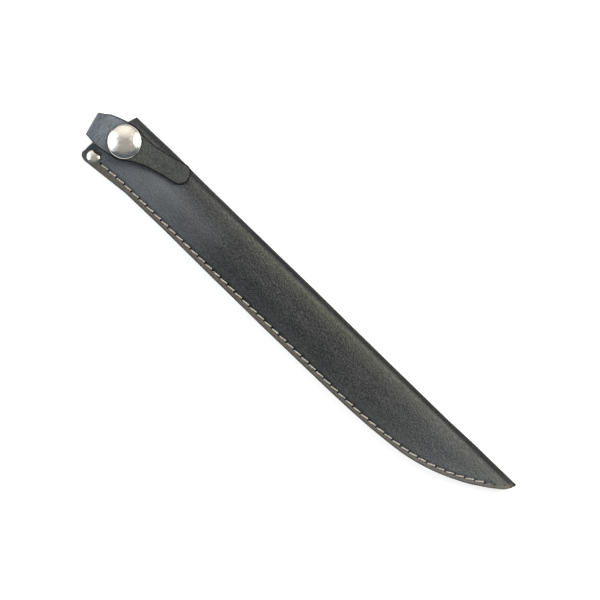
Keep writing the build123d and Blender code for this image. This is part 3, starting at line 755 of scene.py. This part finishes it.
def leatherMaterial(name, look, marks=None):
    mat, tree, shader = newMaterial(name)
    texture = tree.nodes.new("ShaderNodeTexCoord")
    coords = texture.outputs["Object"]
    cells = tree.nodes.new("ShaderNodeTexVoronoi")
    cells.feature = "DISTANCE_TO_EDGE"
    cells.inputs["Scale"].default_value = grain["cells"]
    link(tree, coords, cells.inputs["Vector"])
    pores = spread(tree, cells.outputs["Distance"], 0, grain["poreEdge"], 0, 1)
    fine = noise(tree, coords, grain["fine"], 4)
    wide = noise(tree, coords, grain["patches"], 5)
    color = mix(tree, spread(tree, wide, 0.3, 0.7, 0, 1), look["dark"], look["light"])
    rough = spread(tree, noise(tree, coords, grain["rubs"], 7), 0.3, 0.7, *look["rough"])
    dull = 1
    if marks:
        color, rough, dull = marks(tree, texture, wide, color, rough, look)
    link(tree, color, shader.inputs["Base Color"])
    link(tree, rough, shader.inputs["Roughness"])
    normal = bump(tree, pores, look["grain"], grain["poreDepth"])
    normal = bump(tree, fine, look["grain"], grain["fineDepth"], normal)
    normal = bump(tree, noise(tree, coords, grain["puckers"], 4), grain["pucker"], grain["puckerDepth"], normal)
    link(tree, normal, shader.inputs["Normal"])
    # the grain's crests shine, its hollows do not
    shine = spread(tree, times(tree, fine, spread(tree, pores, 0, 1, 0.75, 1)), 0.3, 0.65, 0.18, 0.66)
    link(tree, times(tree, shine, dull), shader.inputs["Specular IOR Level"])
    return mat


chromeLook = {"color": (0.83, 0.80, 0.75), "rough": 0.12, "scratch": 0.35}
springLook = {"color": (0.5, 0.5, 0.5), "rough": 0.2, "scratch": 0.2}


def metalMaterial(name, look):
    mat, tree, shader = newMaterial(name)
    coords = tree.nodes.new("ShaderNodeTexCoord").outputs["Object"]
    shader.inputs["Base Color"].default_value = (*look["color"], 1)
    shader.inputs["Metallic"].default_value = 1
    rough = spread(tree, noise(tree, coords, 700, 8), 0.35, 0.75, look["rough"], look["rough"] * 2.4)
    link(tree, rough, shader.inputs["Roughness"])
    link(tree, bump(tree, noise(tree, coords, 300, 3), look["scratch"], 0.0004), shader.inputs["Normal"])
    return mat


threadLook = {"dark": (0.26, 0.24, 0.21), "light": (0.50, 0.47, 0.42), "rough": 0.62}


def threadMaterial(name, look):
    mat, tree, shader = newMaterial(name)
    coords = tree.nodes.new("ShaderNodeTexCoord").outputs["Object"]
    color = mix(tree, spread(tree, noise(tree, coords, 900, 6), 0.3, 0.7, 0, 1), look["dark"], look["light"])
    link(tree, color, shader.inputs["Base Color"])
    shader.inputs["Roughness"].default_value = look["rough"]
    link(tree, bump(tree, noise(tree, coords, 4500, 3), 0.5, 0.0001), shader.inputs["Normal"])
    return mat


def dress(obj, mat):
    obj.data.materials.clear()
    obj.data.materials.append(mat)


bodyLeather = leatherMaterial("bodyLeather", bodyLook, bodyMarks)
strapLeather = leatherMaterial("strapLeather", strapLook, strapMarks)
weltLeather = leatherMaterial("weltLeather", weltLook)
chrome = metalMaterial("chrome", chromeLook)
springSteel = metalMaterial("springSteel", springLook)
thread = threadMaterial("waxedThread", threadLook)
for obj, mat in ((sheath, bodyLeather), (weltStrip, weltLeather), (strapFront, strapLeather), (strapRear, strapLeather),
                 (needleThread, thread), (bobbinThread, thread), (snapCap, chrome), (cornerCap, chrome)):
    dress(obj, mat)
for name in ("corner_rivet_post", "snap_stud", "snap_eyelet", "strap_rivet_cap", "strap_rivet_post", "snap_cap_post",
             "snap_socket"):
    dress(nodes[name], chrome)
    nodes[name].data.shade_smooth()
    only(nodes[name])
    bpy.ops.object.shade_smooth_by_angle(angle=math.radians(35))
dress(nodes["snap_spring_ring"], springSteel)
print("materials")

# pale floor: the camera and the chrome see it nearly white
floorLook = {
    "size": 4, "at": (0.11, 0, 0), "under": (0.30, 0.30, 0.30), "seen": (0.42, 0.42, 0.42),
    "dark": (0, 0, 0), "glow": (0.78, 0.78, 0.77), "rough": 0.9, "shine": 0.1,
}
bpy.ops.mesh.primitive_plane_add(size=floorLook["size"], location=floorLook["at"])
floor = bpy.context.object
floor.name = "floor"
floorMat, floorTree, floorShader = newMaterial("floorPaper")
rays = floorTree.nodes.new("ShaderNodeLightPath").outputs
seen = calc(floorTree, "MAXIMUM", rays["Is Camera Ray"], rays["Is Glossy Ray"])
link(floorTree, mix(floorTree, seen, floorLook["under"], floorLook["seen"]), floorShader.inputs["Base Color"])
link(floorTree, mix(floorTree, seen, floorLook["dark"], floorLook["glow"]), floorShader.inputs["Emission Color"])
floorShader.inputs["Emission Strength"].default_value = 1
floorShader.inputs["Roughness"].default_value = floorLook["rough"]
floorShader.inputs["Specular IOR Level"].default_value = floorLook["shine"]
dress(floor, floorMat)

lamps = [
    {"name": "leftLight", "at": (-0.42, -0.34, 0.50), "aim": (0, 0, 0), "size": (0.95, 0.95), "watts": 3.6,
     "color": (0.88, 0.95, 1.0)},
    {"name": "topLight", "at": (-0.24, 0.25, 0.46), "aim": (0, 0, 0), "size": (0.95, 0.8), "watts": 0.55,
     "color": (1.0, 0.94, 0.84)},
    {"name": "rightLight", "at": (0.30, 0.38, 0.46), "aim": (0.10, 0, 0), "size": (0.46, 0.46), "watts": 5.2,
     "color": (1.0, 0.97, 0.88)},
]


# brighter in the middle than at the rim, as a real softbox is
def softbox(lamp):
    data = bpy.data.lights.new(lamp["name"], "AREA")
    data.shape = "RECTANGLE"
    data.size, data.size_y = lamp["size"]
    data.energy = lamp["watts"]
    data.color = lamp["color"]
    data.use_nodes = True
    tree = data.node_tree
    u, v, _ = parted(tree, tree.nodes.new("ShaderNodeNewGeometry").outputs["Parametric"])
    glow = times(tree, *(calc(tree, "SINE", times(tree, side, math.pi)) for side in (u, v)))
    link(tree, times(tree, calc(tree, "POWER", glow, 2), 4), tree.nodes["Emission"].inputs["Strength"])
    obj = bpy.data.objects.new(lamp["name"], data)
    scene.collection.objects.link(obj)
    obj.location = lamp["at"]
    obj.rotation_euler = (Vector(lamp["aim"]) - obj.location).to_track_quat("-Z", "Y").to_euler()


for lamp in lamps:
    softbox(lamp)

# the room is darker low down and in front, which the chrome shows along its lower rim
room = {"low": (0.10, 0.12, 0.14), "high": (0.42, 0.40, 0.37), "between": (0.72, 0.84), "lean": 0.12}
world = bpy.data.worlds.new("studio")
scene.world = world
world.use_nodes = True
sky = world.node_tree
towards = parted(sky, sky.nodes.new("ShaderNodeTexCoord").outputs["Generated"])
lean = times(sky, calc(sky, "SUBTRACT", towards[1], towards[0]), room["lean"])
height = calc(sky, "ADD", towards[2], lean)
link(sky, mix(sky, spread(sky, height, *room["between"], 0, 1), room["low"], room["high"]),
     sky.nodes["Background"].inputs["Color"])
sky.nodes["Background"].inputs["Strength"].default_value = 1
print("floor and lights")

# straight down through a long lens, turned as in the photograph
shot = {"lens": 600, "sensor": 36, "at": (0.1096, 0.0059, 4.381), "turn": 44.2}
cameraData = bpy.data.cameras.new("camera")
cameraData.lens = shot["lens"]
cameraData.sensor_width = shot["sensor"]
cameraData.clip_start, cameraData.clip_end = 0.01, 10
camera = bpy.data.objects.new("camera", cameraData)
scene.collection.objects.link(camera)
camera.location = shot["at"]
camera.rotation_euler = (0, 0, math.radians(shot["turn"]))
scene.camera = camera
scene.view_settings.view_transform = "Standard"
